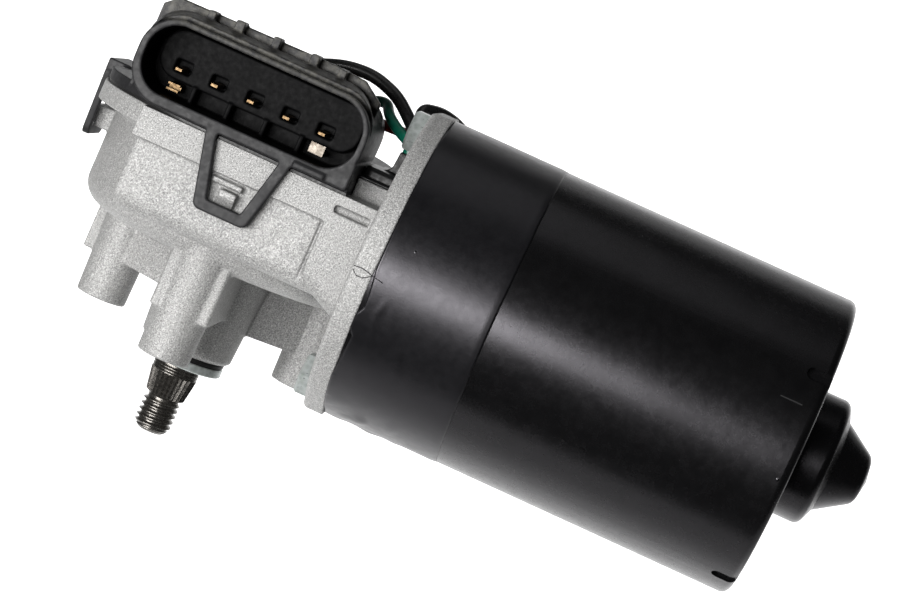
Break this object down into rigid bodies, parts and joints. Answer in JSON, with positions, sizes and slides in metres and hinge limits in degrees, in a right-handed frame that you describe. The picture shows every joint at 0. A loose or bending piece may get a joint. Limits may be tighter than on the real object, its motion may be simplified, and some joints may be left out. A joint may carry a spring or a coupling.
{
  "type": "wiper motor",
  "caption": "Geared electric wiper motor: black drawn can, cast worm gearbox with fixing bosses, downward output shaft and a plastic cover with a plug shroud.",
  "frame": {"origin": "output shaft axis at the plane of the fixing boss ends", "axes": "+Z from the boss ends up into the gearbox, output shaft pointing to -Z; +X along the electric motor from the gearbox to the can's nose; +Y away from the plug opening"},
  "size_m": [0.1734, 0.1008, 0.089],
  "materials": {
    "cast_body": "bright die casting with a fine blasted grain",
    "can_paint": "satin deep black paint on drawn steel",
    "seal_sleeve": "thin black shrunk sealing sleeve",
    "cover_plastic": "black glass-filled nylon",
    "gasket_rubber": "thin black rubber",
    "terminal_brass": "stamped brass",
    "terminal_tin": "tin-plated brass",
    "dark_steel": "dark phosphated steel",
    "seal_rubber": "black rubber",
    "zinc_steel": "zinc-plated steel",
    "spring_steel": "spring steel",
    "plain_steel": "turned steel",
    "ground_steel": "ground steel",
    "lead_black_jacket": "black insulation",
    "lead_green_jacket": "green insulation",
    "lead_red_jacket": "dark red insulation",
    "grommet_rubber": "black rubber",
    "core_laminations": "stacked electrical steel",
    "winding_copper": "enamelled copper wire",
    "commutator_copper": "turned copper",
    "phenolic": "brown phenolic moulding",
    "ferrite": "dark grey sintered ferrite",
    "carbon": "copper-graphite",
    "capacitor_coat": "dipped brown coat",
    "sintered_bronze": "oil-filled sintered bronze",
    "white_nylon": "natural moulded nylon"
  },
  "bodies": {
    "motor_body": {"gear_housing": "cast_body", "motor_can": "can_paint", "joint_seal_band": "seal_sleeve", "gear_cover": "cover_plastic", "cover_gasket": "gasket_rubber", "connector_terminals": "terminal_brass", "earth_contact_fork": "terminal_brass", "wide_terminal": "terminal_tin", "shaft_seal_ring": "seal_rubber", "flange_bolts": "zinc_steel", "can_anchor_lugs": "plain_steel", "lead_black": "lead_black_jacket", "lead_black_short": "lead_black_jacket", "lead_green": "lead_green_jacket", "lead_red": "lead_red_jacket", "lead_grommet": "grommet_rubber", "lead_plug": "grommet_rubber", "field_magnets": "ferrite", "magnet_clips": "spring_steel", "brush_plate": "phenolic", "brush_holders": "terminal_brass", "spring_common": "spring_steel", "spring_low_speed": "spring_steel", "spring_high_speed": "spring_steel", "choke_coils": "winding_copper", "suppression_capacitor": "capacitor_coat", "thermal_cutout": "ground_steel", "front_bearing": "sintered_bronze", "rear_bearing": "sintered_bronze", "rear_bearing_clip": "spring_steel", "rear_thrust_pad": "white_nylon", "worm_end_button": "white_nylon", "lower_shaft_bush": "sintered_bronze", "upper_shaft_bush": "sintered_bronze", "hub_thrust_washer": "plain_steel", "park_contact_fingers": "terminal_brass"},
    "armature": {"armature_shaft": "ground_steel", "armature_core": "core_laminations", "armature_windings": "winding_copper", "commutator_segments": "commutator_copper", "commutator_hub": "phenolic"},
    "output": {"output_shaft": "dark_steel", "wheel_hub": "plain_steel", "worm_wheel": "white_nylon", "park_contact_disc": "terminal_brass", "shaft_thrust_washer": "zinc_steel", "shaft_circlip": "spring_steel"},
    "common_brush": {"brush_common": "carbon"},
    "low_brush": {"brush_low_speed": "carbon"},
    "high_brush": {"brush_high_speed": "carbon"}
  },
  "joints": [
    {"name": "armature_spin", "type": "hinge", "parent": "motor_body", "child": "armature", "pos_m": [0, -0.033, 0.0362], "axis": [1, 0, 0], "continuous": true},
    {"name": "output_spin", "type": "hinge", "parent": "motor_body", "child": "output", "pos_m": [0, 0, 0], "axis": [0, 0, 1], "continuous": true},
    {"name": "common_brush_slide", "type": "slide", "parent": "motor_body", "child": "common_brush", "axis": [0, 0, 1], "range_m": [0, 0.003], "stiffness_N_per_m": 300, "springref_m": -0.002, "deforming": ["spring_common"]},
    {"name": "low_brush_slide", "type": "slide", "parent": "motor_body", "child": "low_brush", "axis": [0, 0, -1], "range_m": [0, 0.003], "stiffness_N_per_m": 300, "springref_m": -0.002, "deforming": ["spring_low_speed"]},
    {"name": "high_brush_slide", "type": "slide", "parent": "motor_body", "child": "high_brush", "axis": [0, 0.866, 0.5], "range_m": [0, 0.003], "stiffness_N_per_m": 300, "springref_m": -0.002, "deforming": ["spring_high_speed"]}
  ],
  "couplings": [
    {"joint": "output_spin", "follows": "armature_spin", "ratio": -0.017857}
  ]
}
